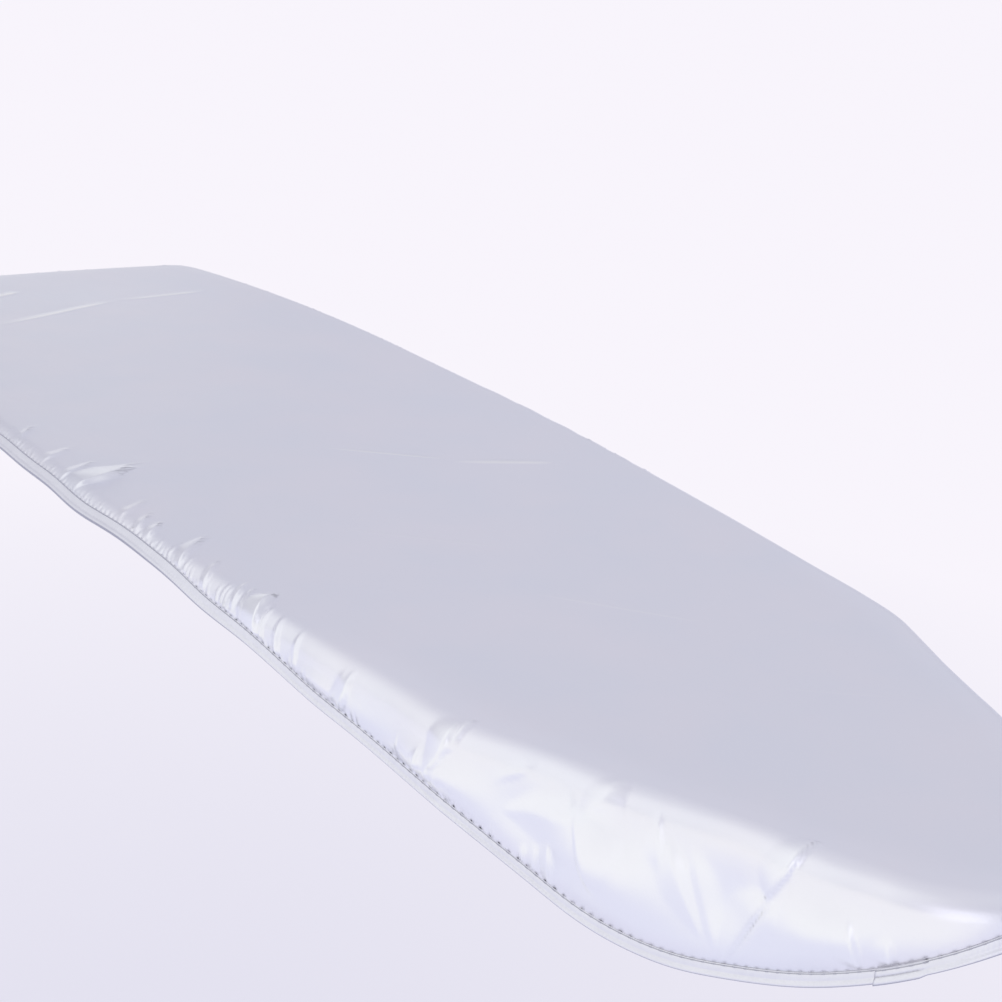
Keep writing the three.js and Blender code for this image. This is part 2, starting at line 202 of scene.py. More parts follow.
# Low swells of the flat top: start and end in plan, half width and height, and over which share of
# their length they fade out at each end
TOP_SWELLS = (
    ((-440, -60), (-470, 90), 22, 0.35),
    ((30, 40), (74, 128), 12, 0.3),
    ((-180, -60), (-120, 70), 26, 0.25),
    ((150, -80), (240, 40), 30, 0.25),
    ((330, -40), (400, 60), 26, 0.25),
    ((-300, 40), (-250, 150), 18, 0.25),
)
SWELL_FADE = 0.35

# The whole flat top waves a little, up to where it turns down: the height of the waves, the lift
# that keeps their hollows off the layer below, the runs per radian of one wave along and across and
# of a lower slanted one, and where the flat top's forms end, as drop
WAVE_HEIGHT = 0.12
WAVE_LIFT = 1.6
WAVE_RUNS = (61, 47)
WAVE_SHIFT = 0.6
SLANTED_SHARE = 0.6
SLANTED_RUNS = (37, 53)
FLAT_END = (-14, 2)

# The sheen is duller in a band along the nose's edge, as if an iron had worn the coating: where
# that starts, is full, is full until and ends, as drop from the flat edge, between which shares of
# the way it comes in, and how much rougher it is
WORN_EDGE = (-26, -3, 2, 14)
WORN_FROM = (0.66, 0.74)
WORN_DULLNESS = 0.22

# Fine wrinkles of the flat top: start and end in plan, how wide the slopes on the left and on the
# right are as one goes along it, and the height. They fade out at both ends
TOP_WRINKLES = (
    ((10, 44), (52, 138), 6, 7, 0.5),
    ((-60, -28), (22, 72), 5, 2, 0.4),
    ((-412, -118), (-468, 34), 7, 4, 0.6),
    ((-463, 14), (-474, 126), 6, 4, 0.45),
    ((-500, -90), (-520, -40), 8, 5, 0.6),
    ((60, -118), (190, 30), 4, 3, 0.22),
    ((190, -60), (330, 60), 5, 4, 0.25),
    ((360, -20), (440, 90), 5, 4, 0.2),
)
WRINKLE_FADES = ((0, 0.45), (1, 0.7))

# Small puckers above the seam: their usual pitch and how it varies, their least and greatest
# height and length, how rare the large ones are, where along them they stand highest, how steep
# their slopes are towards the tail and the nose, how far they lean by share of the way and on the
# flat top, and how strong they are by share of the way
PUCKER_PITCH = 4.2
PUCKER_PITCH_SPREAD = (0.55, 1.5)
PUCKER_HEIGHTS = (0.7, 1.8)
PUCKER_HEIGHT_SPREAD = (0.6, 1)
PUCKER_LENGTHS = (4, 24)
PUCKER_RARENESS = 1.7
PUCKER_PEAK = 0.15
PUCKER_TAIL_SLOPE = 0.6
PUCKER_NOSE_SLOPE = 1.3
PUCKER_SEED = 11
PUCKER_LEAN = np.array([(0, 0.4), (0.4, 0.8), (0.58, 0.3), (0.64, 0.15), (0.69, 0), (1, 0)])
PUCKER_LEAN_SPREAD = 0.15
PUCKER_FLAT_LEAN = 0.9
PUCKER_STRENGTH = np.array([
    (0, 0.7), (0.1, 0.5), (0.3, 0.5), (0.5, 0.45), (0.56, 0.75), (0.6, 0.75), (0.635, 0.9),
    (0.65, 1.1), (0.68, 1), (0.72, 0.9), (0.8, 0.8), (0.83, 0.35), (0.88, 0.12), (0.94, 0.2),
    (1, 0.4),
])

# Between two stitches the cloth puffs up above the seam where it is gathered, and at each stitch
# it dips, at some more than at others. Creases and puffs end at the seam over a short run
SEAM_PUFF = 0.55
SEAM_DIP = 0.08
STITCH_DIPS = (0.25, 0.6)
SEAM_PUFF_RUN = 2
SEAM_PUFF_EDGE = 0.3
CREASE_END_RUN = 3
SEAM_STRENGTH = np.array([
    (0, 0.3), (0.5, 0.35), (0.62, 0.45), (0.7, 0.65), (0.76, 1), (0.81, 1), (0.84, 0.4),
    (0.87, 0.1), (1, 0.1),
])

# Stitches: their pitch and size, how flat a bead of thread is, how far its ends dip and how far it
# sits out of the tape, then the seam's depth below the tape's edge, its sink and the width of its
# painted shadow line
STITCH_PITCH = 5.3
STITCH_LENGTH = 3
STITCH_RADIUS = 0.34
STITCH_FLATNESS = 0.8
STITCH_END_DIP = 0.35
STITCH_RISE_SHARE = 0.25
SEAM_DOWN = 0.6
SEAM_SINK = 0.12
SEAM_LINE = 0.6

# Lowest and highest rise of the cloth that its material tells apart, to paint highlights on crests
# and shade in dips
CREST_LIMITS = (-1, 3)

# Scale of a wave texture with one band in a metre
BAND_SCALE = 0.314

# The floor, and the share of its plain colour in what the camera sees of it
FLOOR_DROP = 0.88
FLOOR_RADIUS = 30
FLOOR_GLOW = 0.9

# The paper is painted a little darker under the cover, as a painted shadow, and gets paler outwards
PAPER_SHADE_CENTRE = (-0.4, 0, -FLOOR_DROP)
PAPER_SHADE_REACH = (0.3, 2.2)

# The sheen of the cloth shows the paper brightest in a fan out from the near side, a painted pool
# of light that glows for the sheen only: where the fan starts, its direction, the cosines of its
# half width, and how far out it begins and is full
FAN_START = (0.1, -0.1, -FLOOR_DROP)
FAN_DIRECTION = (0.3, -0.954, 0)
FAN_EDGE = (0.3, 0.75)
FAN_REACH = (0.75, 1.5)

# The room that the sheen shows is brightest on the near side, like a studio with one wide diffuser
# there: its direction, the dot products at which it begins and is full, and the heights and shares
# along X, as parts of a direction, between which it fades out before the ceiling and the nose
PANEL_DIRECTION = (0.7, -1, 0.8)
PANEL_EDGE = (-0.1, 0.6)
PANEL_TOP = (0.98, 0.86)
PANEL_END = (0.6, 0.15)

# A white backdrop stands low behind the tail, with its edge and top given as the panel's are, and
# the paper before it is painted white for the sheen too, as painted light
BACKDROP_DIRECTION = (-0.99, 0.139, 0)
BACKDROP_EDGE = (0.9, 0.96)
BACKDROP_TOP = (0.29, 0.18)

# The wall behind the tail is darker, between these cosines from its direction
TAIL_DIRECTION = (-1, 0, 0)
TAIL_SHADE = (0.8, 0.95)

# A wide weak lamp stands before the nose
LAMP_PLACE = (3.2, -1.7, 0.7)
LAMP_TARGET = (0.3, -0.1, 0)
LAMP_SIZE = 2.2
LAMP_POWER = 8
LAMP_COLOUR = "#fbfcff"

# Camera at the photograph's viewing angle: place, direction and roll, the focal length that gives
# the photograph's perspective, and the photograph's width, both in pixels
CAMERA_PLACE = (0.9577, -0.6076, 0.4005)
CAMERA_YAW = math.radians(142.83)
CAMERA_PITCH = math.radians(20.12)
CAMERA_ROLL = math.radians(4.73)
FOCAL_PIXELS = 1755.3
FRAME_PIXELS = 1002
SENSOR = 36


def bend(start, control, end):
    """Points of a quadratic curve."""
    t = np.linspace(0, 1, CURVE_STEPS)[:, None]
    start, control, end = (np.array(p, float) for p in (start, control, end))
    return (1 - t) ** 2 * start + 2 * t * (1 - t) * control + t**2 * end


def half_outline():
    """Half of the plan's outline, from the tail's middle to the tip, and its length."""
    side, tail = BOARD_WIDTH / 2, -BOARD_LENGTH / 2
    corner_start = np.array([tail + TAIL_BOW, TAIL_END_WIDTH / 2])
    corner_end = np.array([corner_start[0] + TAIL_CORNER_RUN, TAIL_SHOULDER_WIDTH / 2])
    full_start = corner_end[0] + TAIL_WIDENING_RUN
    full_end = full_start + FULL_WIDTH_RUN
    shoulder = np.array([BOARD_LENGTH / 2 - NOSE_RUN, NOSE_SHOULDER_WIDTH / 2])
    tip_centre = np.array([BOARD_LENGTH / 2 - NOSE_TIP_RADIUS, 0])

    # The tail's corner meets the end's bow and the widening side in their own directions
    end_control = np.array([tail, corner_start[1] / 2])
    side_control = np.array([corner_end[0] + TAIL_WIDENING_RUN * WIDENING_LEAD_SHARE, side])
    end_slope = (corner_start[0] - end_control[0]) / (corner_start[1] - end_control[1])
    side_slope = (side_control[1] - corner_end[1]) / (side_control[0] - corner_end[0])
    corner_rise = corner_end[1] - corner_start[1] - side_slope * TAIL_CORNER_RUN
    lead = corner_rise / (1 - side_slope * end_slope)
    corner_control = corner_start + lead * np.array([end_slope, 1])

    # The straight side of the nose touches the arc of its tip
    to_tip = tip_centre - shoulder
    nose_angle = math.atan2(to_tip[1], to_tip[0]) + math.pi / 2
    nose_angle += math.asin(NOSE_TIP_RADIUS / np.linalg.norm(to_tip))
    touch = tip_centre + NOSE_TIP_RADIUS * np.array([math.cos(nose_angle), math.sin(nose_angle)])
    taper_control = np.array([full_end + (shoulder[0] - full_end) * TAPER_LEAD_SHARE, side])
    along_taper = (shoulder - taper_control) / np.linalg.norm(shoulder - taper_control)
    along_nose = (touch - shoulder) / np.linalg.norm(touch - shoulder)
    ease_start = shoulder - NOSE_SHOULDER_EASE * along_taper
    ease_end = shoulder + NOSE_SHOULDER_EASE * along_nose

    arc = np.linspace(nose_angle, 0, CURVE_STEPS)
    path = np.vstack([
        bend((tail, 0), end_control, corner_start),
        bend(corner_start, corner_control, corner_end)[1:],
        bend(corner_end, side_control, (full_start, side))[1:],
        bend((full_end, side), taper_control, ease_start),
        bend(ease_start, shoulder, ease_end)[1:],
        tip_centre + NOSE_TIP_RADIUS * np.column_stack([np.cos(arc), np.sin(arc)]),
    ])
    run = np.concatenate([[0], np.cumsum(np.linalg.norm(np.diff(path, axis=0), axis=1))])
    even = np.linspace(0, run[-1], OUTLINE_STEPS + 1)
    points = np.column_stack([np.interp(even, run, path[:, 0]), np.interp(even, run, path[:, 1])])
    return points, run[-1]


def eased(values, reach, step):
    """Values round the closed outline, averaged twice over a reach to each side."""
    n = max(1, int(reach / step))
    kernel = np.ones(2 * n + 1) / (2 * n + 1)
    for _ in range(2):
        ring = np.concatenate([values[-n:], values, values[:n]])
        values = np.convolve(ring, kernel, "valid")
    return values


def smoothstep(low, high, value):
    t = np.clip((value - low) / (high - low), 0, 1)
    return t * t * (3 - 2 * t)


class Stations:
    """The places round the outline where the cloth is drawn, from the tail's middle along the near
    side to the nose and back along the far side, and how it hangs at each."""

    def __init__(self):
        half, self.length = half_outline()
        step = self.length / OUTLINE_STEPS
        loop = np.vstack([half[:-1] * (1, -1), half[:0:-1]])
        ramp = np.linspace(0, 1, OUTLINE_STEPS + 1)
        share = np.concatenate([ramp[:-1], ramp[:0:-1]])
        side = np.repeat([-1, 1], OUTLINE_STEPS)
        tangent = np.roll(loop, -1, 0) - np.roll(loop, 1, 0)
        out = np.column_stack([tangent[:, 1], -tangent[:, 0]])
        out /= np.linalg.norm(out, axis=1)[:, None]
        wrap = eased(np.interp(share, SKIRT[:, 0], SKIRT[:, 1]), SKIRT_EASE, step)
        cloth = eased(np.interp(share, SKIRT[:, 0], SKIRT[:, 2]), SKIRT_EASE, step) * OVERHANG
        run = share * self.length
        wander = sum(part * np.sin(run / reach + shift * side) for reach, shift, part in HEM_WAVES)
        cloth += HEM_WANDER * wander * smoothstep(0, HEM_WANDER_EASE, run) \
            * smoothstep(0, HEM_WANDER_EASE, self.length - run)

        # The hem aims at the place where the outward line crosses the middle line
        aim_low = -BOARD_LENGTH / 2 + TAIL_AIM_RUN
        aim_high = BOARD_LENGTH / 2 - NOSE_TIP_RADIUS
        slant = out[:, 0] / np.where(out[:, 1] == 0, 1, out[:, 1])
        crossing = np.clip(loop[:, 0] - loop[:, 1] * slant, aim_low, aim_high)
        hang = loop - np.column_stack([crossing, np.zeros(len(loop))])
        hang /= np.linalg.norm(hang, axis=1)[:, None]

        # Rows of the flat top run straight across, and fan out at its two ends
        edge = loop - out * RIM_RADIUS
        middle = np.column_stack([np.clip(loop[:, 0], aim_low, aim_high), np.zeros(len(loop))])
        reach = np.linalg.norm(middle - edge, axis=1)

        spacing = eased(np.where(side < 0, NEAR_SPACING, FAR_SPACING), SPACING_EASE, step)
        passed = np.concatenate([[0], np.cumsum(step / spacing)])
        self.count = 2 * int(passed[-1] / 2)
        chosen = np.searchsorted(passed, np.arange(self.count) * passed[-1] / self.count)
        self.place, self.out = loop[chosen], out[chosen]
        self.hang = hang[chosen]
        self.inward = ((middle - edge) / reach[:, None])[chosen]
        self.reach = reach[chosen]
        self.share, self.side = share[chosen], side[chosen]
        self.wrap = np.radians(wrap[chosen])
        self.cloth = cloth[chosen]
        self.rim_end = self.wrap * CLOTH_RADIUS
        self.seam = self.cloth - BINDING_WIDTH
        self.run = self.share * self.length
        self.loop_run = np.where(self.side < 0, self.run, 2 * self.length - self.run)
        self.stitch_count = int(2 * self.length / STITCH_PITCH)
        self.stitch_pitch = 2 * self.length / self.stitch_count

    def draw(self, drop, off, radius=CLOTH_RADIUS):
        """Points at a drop from the flat edge along the cloth, and off its middle surface. Both
        have a row for each station. A drop below 0 lies on the flat top."""
        angle = np.clip(drop / radius, 0, self.wrap[:, None])
        down = np.maximum(drop - self.wrap[:, None] * radius, 0)
        cos, sin = np.cos(angle), np.sin(angle)
        spread = (down * cos)[..., None] * self.hang[:, None]
        spread = spread + np.maximum(-drop, 0)[..., None] * self.inward[:, None]
        spread = spread + (radius * sin - RIM_RADIUS + off * sin)[..., None] * self.out[:, None]
        height = radius * cos - RIM_RADIUS - down * sin + off * cos
        points = self.place[:, None] + spread
        return np.concatenate([points, height[..., None]], axis=-1)

    def broad_folds(self, drop):
        """Height of the broad folds, full in the middle of the skirt and low at the hem."""
        height = np.zeros(self.count)
        for side, share, reach, rise in BROAD_FOLDS:
            away = (self.share - share) * self.length / reach
            height += np.where(self.side == side, rise * np.exp(-away * away), 0)
        free = np.clip((self.cloth - self.rim_end - BINDING_WIDTH) / FOLD_RUN, 0, 1)
        middle = (self.rim_end + self.seam) / 2
        knots = (np.zeros(self.count), self.rim_end, middle, self.seam)
        shares = (0, FOLD_SHARES["rim"], FOLD_SHARES["middle"], FOLD_SHARES["hem"])
        curve = np.full(drop.shape, FOLD_SHARES["hem"])
        for i in range(len(knots) - 1):
            low, high = knots[i][:, None], np.maximum(knots[i + 1], knots[i] + 1)[:, None]
            part = shares[i] + (shares[i + 1] - shares[i]) * smoothstep(low, high, drop)
            curve = np.where((drop >= low) & (drop < high), part, curve)
        return np.where(drop > 0, curve, 0) * (height * free)[:, None]

    def billow(self, drop):
        """How far the free skirt stands out between the rim and the pulled-in hem."""
        free = (self.seam - self.rim_end).clip(1)[:, None]
        start = BILLOW_START * self.rim_end[:, None]
        t = np.clip((drop - start) / (self.seam[:, None] - start), 0, 1)
        return BILLOW_SHARE * free * np.sin(np.pi * t**BILLOW_EASE)

    def creases(self, drop):
        """Height of the creases that the gathering pulls up."""
        height = np.zeros(drop.shape)
        run = np.broadcast_to(self.run[:, None], drop.shape)
        for side, start, end, bow, peak_at, tail_width, nose_width, rise, crisp in CREASES:
            a = np.array([start[0] * self.length, start[1]])
            b = np.array([end[0] * self.length, end[1]])
            axis = b - a
            size = np.linalg.norm(axis)
            towards = 1 if axis[1] > 0 else -1
            down = np.clip((drop - a[1]) / axis[1], 0, 1)
            ahead = run - a[0] - 4 * bow * down * (1 - down)
            t = (ahead * axis[0] + (drop - a[1]) * axis[1]) / size**2
            across = (ahead * axis[1] - (drop - a[1]) * axis[0]) / size
            leaf = np.clip(np.minimum(t / peak_at, (1 - t) / (1 - peak_at)), 0, 1)
            leaf = leaf * (2 - leaf)
            width = np.where(across * towards < 0, tail_width, nose_width)
            peak = np.clip(leaf - np.abs(across) / width, 0, 1)
            peak = crisp * peak + (1 - crisp) * peak * peak * (3 - 2 * peak)
            height = np.where(self.side[:, None] == side, np.maximum(height, rise * peak), height)
        return height

    def puckers(self, drop):
        """Height of the small puckers that stand in a row above the seam."""
        chance = np.random.default_rng(PUCKER_SEED)
        height = np.zeros(drop.shape)
        run = self.run[:, None]
        up = self.seam[:, None] - drop
        for side in (-1, 1):
            at = chance.uniform(0, PUCKER_PITCH)
            while at < self.length:
                share = at / self.length
                strength = np.interp(share, PUCKER_STRENGTH[:, 0], PUCKER_STRENGTH[:, 1])
                size = chance.uniform(0, 1) ** PUCKER_RARENESS
                tall = np.interp(size, (0, 1), PUCKER_HEIGHTS) * strength
                tall *= chance.uniform(*PUCKER_HEIGHT_SPREAD)
                long = np.interp(size, (0, 1), PUCKER_LENGTHS) * strength**0.5
                lean = np.interp(share, PUCKER_LEAN[:, 0], PUCKER_LEAN[:, 1])
                lean += chance.uniform(-PUCKER_LEAN_SPREAD, PUCKER_LEAN_SPREAD)
                reach = long * PUCKER_FLAT_LEAN + tall / PUCKER_TAIL_SLOPE
                rows = np.flatnonzero((self.side == side) & (np.abs(self.run - at) < reach))
                t = up[rows] / long
                flat = np.maximum(-drop[rows], 0)
                across = run[rows] - at + lean * (up[rows] - flat) + PUCKER_FLAT_LEAN * flat
                slope = np.where(across < 0, PUCKER_TAIL_SLOPE, PUCKER_NOSE_SLOPE)
                leaf = np.minimum(t / PUCKER_PEAK, (1 - t) / (1 - PUCKER_PEAK))
                peak = tall * leaf - np.abs(across) * slope
                height[rows] = np.maximum(height[rows], peak)
                at += PUCKER_PITCH * chance.uniform(*PUCKER_PITCH_SPREAD)
        return height

    def swells(self, points, drop):
        """Height of the low swells and hollows of the flat top."""
        x, y = points[..., 0], points[..., 1]
        height = np.zeros(x.shape)
        for start, end, width, rise in TOP_SWELLS:
            a, b = np.array(start, float), np.array(end, float)
            axis = b - a
            size = np.linalg.norm(axis)
            t = ((x - a[0]) * axis[0] + (y - a[1]) * axis[1]) / size**2
            across = ((x - a[0]) * axis[1] - (y - a[1]) * axis[0]) / size
            fade = smoothstep(0, SWELL_FADE, t) * (1 - smoothstep(1 - SWELL_FADE, 1, t))
            height += rise * np.exp(-(across / width) ** 2) * fade
        wave = np.sin(x / WAVE_RUNS[0]) * np.sin(y / WAVE_RUNS[1] + WAVE_SHIFT)
        wave += SLANTED_SHARE * np.sin(x / SLANTED_RUNS[0] + y / SLANTED_RUNS[1])
        height += WAVE_HEIGHT * (wave + WAVE_LIFT)
        return height * (1 - smoothstep(*FLAT_END, drop))

    def cloth_rise(self, drop):
        """How far the cloth's middle surface stands off its plain form."""
        plain = self.draw(drop, np.zeros(drop.shape))
        up = self.seam[:, None] - drop
        free = smoothstep(0, CREASE_END_RUN, up)
        gathered = np.maximum(self.creases(drop) * free, self.puckers(drop))
        turns = self.loop_run / self.stitch_pitch
        chance = np.random.default_rng(PUCKER_SEED)
        dips = np.interp(chance.uniform(0, 1, self.stitch_count), (0, 1), STITCH_DIPS)
        dips = dips[turns.astype(int) % self.stitch_count]
        wave = -np.cos(2 * np.pi * turns)
        strength = np.interp(self.share, SEAM_STRENGTH[:, 0], SEAM_STRENGTH[:, 1])
        puff = SEAM_PUFF * (1 - wave.clip(0)) - dips * wave.clip(0) ** 2
        puff = strength * puff - (1 - strength) * SEAM_DIP
        puff = puff[:, None] * np.exp(-up.clip(0) / SEAM_PUFF_RUN)
        puff = puff * smoothstep(-SEAM_PUFF_EDGE, 0, up)
        rise = self.broad_folds(drop) + self.billow(drop) + gathered
        return rise + self.swells(plain, drop) + puff

    def hem(self, down, off):
        """Points of the hem at a depth below the binding's upper edge, the same for all."""
        drop = self.seam[:, None] + down[None]
        rise = self.broad_folds(self.seam[:, None])
        return self.draw(drop, off[None] + rise)


def new_piece(name, points, faces):
    """A smooth mesh object from points in millimetres and lists of vertex numbers."""
    mesh = bpy.data.meshes.new(name)
    mesh.from_pydata((points * MM).tolist(), [], faces)
    mesh.update()
    mesh.polygons.foreach_set("use_smooth", [True] * len(mesh.polygons))
    piece = bpy.data.objects.new(name, mesh)
    bpy.context.scene.collection.objects.link(piece)
    return piece


def ring_faces(count, size, tube=False):
    """Four-sided faces between neighbouring sections, each of a number of points. The last section
    joins the first one, but in a tube it is each section that closes on itself."""
    i = np.arange(count - 1 if tube else count)
    j = np.arange(size if tube else size - 1)
    i, j = np.meshgrid(i, j, indexing="ij")
    after, below = (i + 1) % count, (j + 1) % size
    corners = [i * size + j, i * size + below, after * size + below, after * size + j]
    return np.stack(corners, axis=-1).reshape(-1, 4).tolist()


def fill_ring(piece, ring):
    """Fills the loop of vertex numbers with a flat net of faces."""
    bm = bmesh.new()
    bm.from_mesh(piece.data)
    bm.verts.ensure_lookup_table()
    edges = [bm.edges.get((bm.verts[a], bm.verts[b])) for a, b in zip(ring, ring[1:] + ring[:1])]
    bmesh.ops.triangle_fill(bm, edges=edges, use_beauty=True)
    bmesh.ops.recalc_face_normals(bm, faces=bm.faces[:])
    bm.to_mesh(piece.data)
    bm.free()
    piece.data.polygons.foreach_set("use_smooth", [True] * len(piece.data.polygons))


def turn_faces_out(piece):
    bm = bmesh.new()
    bm.from_mesh(piece.data)
    bmesh.ops.recalc_face_normals(bm, faces=bm.faces[:])
    bm.to_mesh(piece.data)
    bm.free()


def write_places(piece, name, places):
    """A UV map of the piece, from a flat place in millimetres for each vertex."""
    layer = piece.data.uv_layers.new(name=name)
    corners = np.zeros(len(piece.data.loops), int)
    piece.data.loops.foreach_get("vertex_index", corners)
    layer.data.foreach_set("uv", (places[corners] * MM).ravel())


def write_values(piece, name, values):
    """An attribute of the piece, from a value for each vertex."""
    layer = piece.data.attributes.new(name, "FLOAT", "POINT")
    layer.data.foreach_set("value", values)


def face_cloth(stations):
    """One cut of cloth: the flat top, the turn round the rim, the skirt and what the tape holds."""
    shares = np.array(TOP_ROW_SHARES)
    top = -stations.reach[:, None] * shares[None]
    rim = stations.rim_end[:, None] * np.linspace(0, 1, RIM_ROWS)[None]
    free = (stations.seam - stations.rim_end)[:, None]
    skirt_shares = 1 - (1 - np.linspace(0, 1, SKIRT_ROWS + 1)[None, 1:]) ** SKIRT_ROW_CROWDING
    skirt = stations.rim_end[:, None] + free * skirt_shares
    held = stations.seam[:, None] + CLOTH_IN_BINDING * np.array([HELD_ROW_SHARES])
    drop = np.hstack([top, rim, skirt, held])
    rise = stations.cloth_rise(drop)
    outer = stations.draw(drop, rise + CLOTH_THICKNESS / 2)
    count, size = drop.shape
    faces = ring_faces(count, size)

    # The inner face has every second station and every third row, and keeps below the hollows
    low = rise
    for shift in (-2, -1, 1, 2):
        low = np.minimum(low, np.roll(rise, shift, axis=0))
    padded = np.pad(low, ((0, 0), (INNER_ROW_STEP, INNER_ROW_STEP)), mode="edge")
    low = np.min([padded[:, k:k + size] for k in range(2 * INNER_ROW_STEP + 1)], axis=0)
    rows = np.arange(size - 1, -1, -INNER_ROW_STEP)
    inner = stations.draw(drop, low - CLOTH_THICKNESS / 2)[::2, rows]
    first = count * size
    faces.extend([[first + v for v in f] for f in ring_faces(count // 2, len(rows))])
    for k in range(count // 2):
        after = (k + 1) % (count // 2)
        faces.append([2 * k * size + size - 1, (2 * k + 1) * size + size - 1,
                      2 * after * size + size - 1, first + after * len(rows),
                      first + k * len(rows)])
    points = np.vstack([outer.reshape(-1, 3), inner.reshape(-1, 3)])
    piece = new_piece("face_cloth_silver", points, faces)

    def of_vertices(field):
        """A field at the mesh's vertices, those of the outer face and then of the inner one."""
        rings = (field, field[::2, rows])
        return np.concatenate([ring.reshape(-1, *field.shape[2:]) for ring in rings])

    # The cut laid flat gives the weave its directions
    cut = stations.place[:, None] + stations.out[:, None] * (drop.clip(0) - RIM_RADIUS)[..., None]
    cut = cut - stations.inward[:, None] * drop.clip(max=0)[..., None]
    write_places(piece, "cut", of_vertices(cut))
    crest = of_vertices(rise - stations.broad_folds(drop))
    write_values(piece, "crest", np.clip(crest, *CREST_LIMITS))
    worn = smoothstep(*WORN_EDGE[:2], drop) * (1 - smoothstep(*WORN_EDGE[2:], drop))
    worn = worn * smoothstep(*WORN_FROM, stations.share)[:, None]
    write_values(piece, "worn", of_vertices(worn))
    fill_ring(piece, [i * size for i in range(count)])
    fill_ring(piece, [first + (k + 1) * len(rows) - 1 for k in range(count // 2)])
    edge = cut[:, -1]
    turned = np.roll(edge, -1, 0)
    area = abs(np.sum(edge[:, 0] * turned[:, 1] - edge[:, 1] * turned[:, 0])) / 2
    flat = (2 * np.abs(edge[:, 1]).max() * MM, np.ptp(edge[:, 0]) * MM)
    return piece, flat, area * MM * MM


def felt_underlay(stations):
    """Felt cut to the plan, with a rounded upper edge and a flat underside."""
    angles = np.linspace(0, math.acos(RIM_RADIUS / PAD_RADIUS), FELT_EDGE_ROWS)
    top = -stations.reach[:, None] * np.array(FELT_ROW_SHARES)[None]
    drop = np.hstack([top, np.tile(angles * PAD_RADIUS, (stations.count, 1))])
    upper = stations.draw(drop, np.zeros(drop.shape), PAD_RADIUS)
    lower = upper[:, ::-1].copy()
    lower[..., 2] = 0
    lower = lower[:, 1:]
    points = np.concatenate([upper, lower], axis=1)
    size = points.shape[1]
    piece = new_piece("felt_underlay", points.reshape(-1, 3), ring_faces(stations.count, size))
    fill_ring(piece, [i * size for i in range(stations.count)])
    fill_ring(piece, [i * size + size - 1 for i in range(stations.count)])
    return piece


def tape_contour(off):
    """One face of the folded tape, down the outer leg, round the channel and up the inner one."""
    leg = CLOTH_THICKNESS / 2 + LAYER_GAP + off
    pressed = CLOTH_THICKNESS / 2 + TAPE_EDGE_GAP + TAPE_EDGE_SHARE * off
    legs = [(0, pressed), (SEAM_DOWN, leg - SEAM_SINK)]
    legs += [(down, leg + swell) for down, swell in TAPE_SWELL]
    turn = CHANNEL_TURN * np.linspace(1, -1, CHANNEL_POINTS)
    radius = CHANNEL_RADIUS + off
    arc = [(CHANNEL_CENTRE + radius * math.cos(a), radius * math.sin(a)) for a in turn]
    return legs + arc + [(down, -side) for down, side in reversed(legs)]


def hem_binding(stations):
    """Tape folded over the cut edge, with one end lapped over the other."""
    from_lap = np.where(stations.side < 0, np.abs(stations.share - LAP_SHARE), np.inf)
    start = int(np.argmin(from_lap))
    middle = stations.hem(np.array([CHANNEL_CENTRE]), np.zeros(1))[:, 0]
    steps = np.linalg.norm(np.roll(middle, -1, 0) - middle, axis=1)
    lap_count = int(np.searchsorted(np.cumsum(np.roll(steps, -start)), TAPE_LAP))
    rings = []
    for grown, indexes in (
        (TAPE_THICKNESS + LAYER_GAP, range(start, start + lap_count)),
        (0, range(start + lap_count + 1, start + lap_count + stations.count + 1)),
    ):
        section = tape_contour(grown + TAPE_THICKNESS) + tape_contour(grown)[::-1]
        down, off = np.array(section).T
        drawn = stations.hem(down, off)
        rings.extend(drawn[i % stations.count] for i in indexes)
    points = np.array(rings)
    count, size = points.shape[:2]
    faces = ring_faces(count, size, tube=True)
    half = size // 2
    for first in (0, (count - 1) * size):
        for j in range(half - 1):
            mirror = size - 1 - j
            faces.append([first + j, first + j + 1, first + mirror - 1, first + mirror])
    piece = new_piece("hem_binding_tape", points.reshape(-1, 3), faces)
    run = np.concatenate([[0], np.cumsum(np.linalg.norm(np.diff(points[:, 0], axis=0), axis=1))])
    down = np.array(tape_contour(0) + tape_contour(0)[::-1])[:, 0]
    along = np.stack(np.broadcast_arrays(run[:, None], down[None]), axis=-1).reshape(-1, 2)
    write_places(piece, "tape", along)
    turn_faces_out(piece)
    return piece, start, lap_count


def elastic_cord(stations, start):
    """Round elastic along the whole channel, with its two ends just apart under the lap."""
    turn = np.linspace(0, 2 * np.pi, CORD_SIDES, endpoint=False)
    drawn = stations.hem(CHANNEL_CENTRE + CORD_RADIUS * np.sin(turn), CORD_RADIUS * np.cos(turn))
    gap = max(1, int(CORD_END_GAP / NEAR_SPACING))
    points = np.array([drawn[(start + i) % stations.count] for i in range(stations.count - gap)])
    count, size = points.shape[:2]
    faces = ring_faces(count, size, tube=True)
    faces.append(list(range(size)))
    faces.append([(count - 1) * size + j for j in range(size)])
    piece = new_piece("hem_elastic_cord", points.reshape(-1, 3), faces)
    turn_faces_out(piece)
    return piece


def stitch_shape():
    """One stitch: a bead of thread, long along the seam, that dips in at both ends."""
    bpy.ops.object.select_all(action="DESELECT")
    bpy.ops.mesh.primitive_uv_sphere_add(segments=8, ring_count=6, radius=1)
    bead = bpy.context.active_object
    co = np.array([v.co[:] for v in bead.data.vertices])
    faces = [list(p.vertices) for p in bead.data.polygons]
    bpy.data.objects.remove(bead)
    along, across, up = co[:, 2], co[:, 0], co[:, 1]
    full = np.sqrt(np.clip(1 - np.abs(along) ** 3, 0, 1))
    thin = np.where(full > 0, full / np.maximum(np.sqrt(1 - along**2), 0.01), 0)
    return np.column_stack([
        along * STITCH_LENGTH / 2,
        across * thin * STITCH_RADIUS,
        up * thin * STITCH_RADIUS * STITCH_FLATNESS - STITCH_END_DIP * along**4,
    ]), faces


